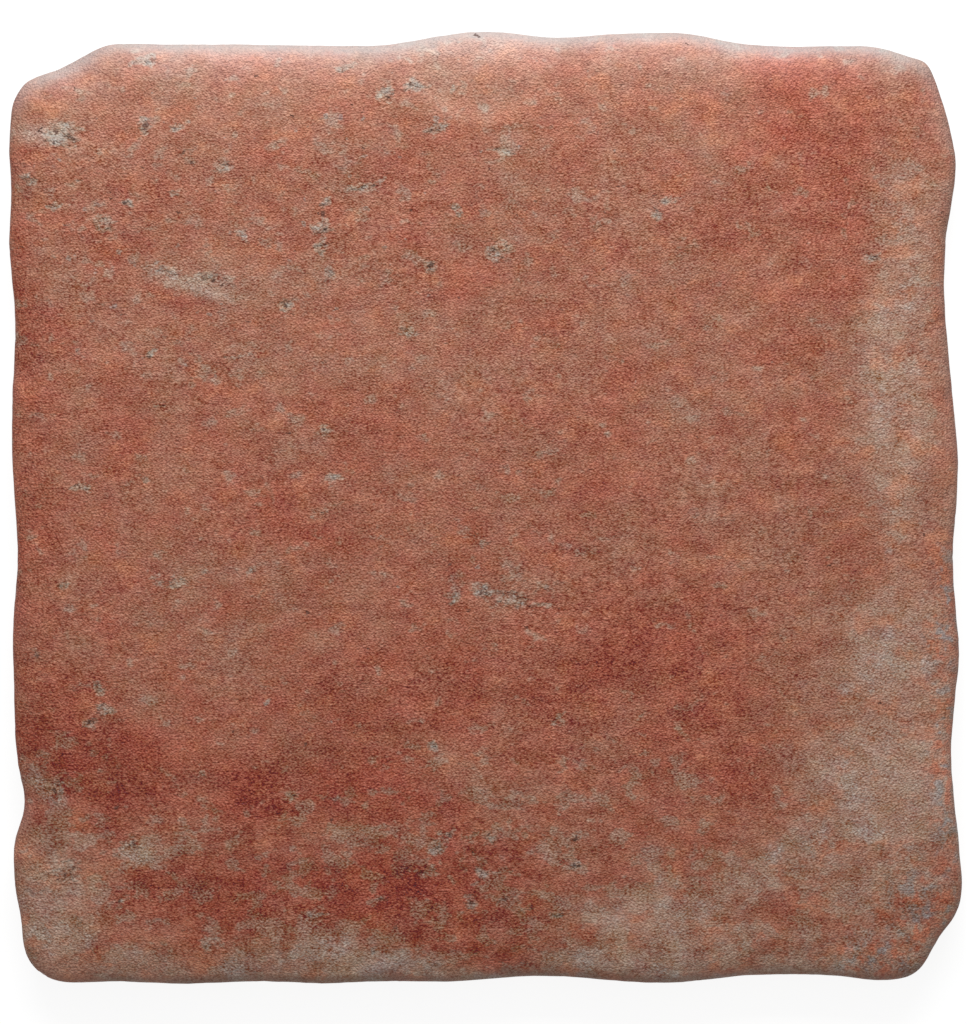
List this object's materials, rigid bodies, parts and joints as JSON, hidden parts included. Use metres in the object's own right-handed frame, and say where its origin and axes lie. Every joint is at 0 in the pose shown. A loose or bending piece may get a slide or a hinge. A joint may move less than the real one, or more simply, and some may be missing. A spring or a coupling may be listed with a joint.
{
  "type": "porcelain tile",
  "caption": "Square terracotta-look porcelain floor tile with worn, wavy edges, a cushioned face and shallow key pockets in its back.",
  "frame": {"origin": "centre of the back, on the surface that the tile lies on", "axes": "+Z out of the face, +Y towards the edge that is at the top in the picture, +X towards the right edge"},
  "size_m": [0.2, 0.2, 0.01],
  "materials": {
    "fired_stoneware": "matt, fine sandy grain, mottled brick red with beige-grey weathered patches"
  },
  "bodies": {
    "root": {"tile": "fired_stoneware"}
  },
  "joints": []
}
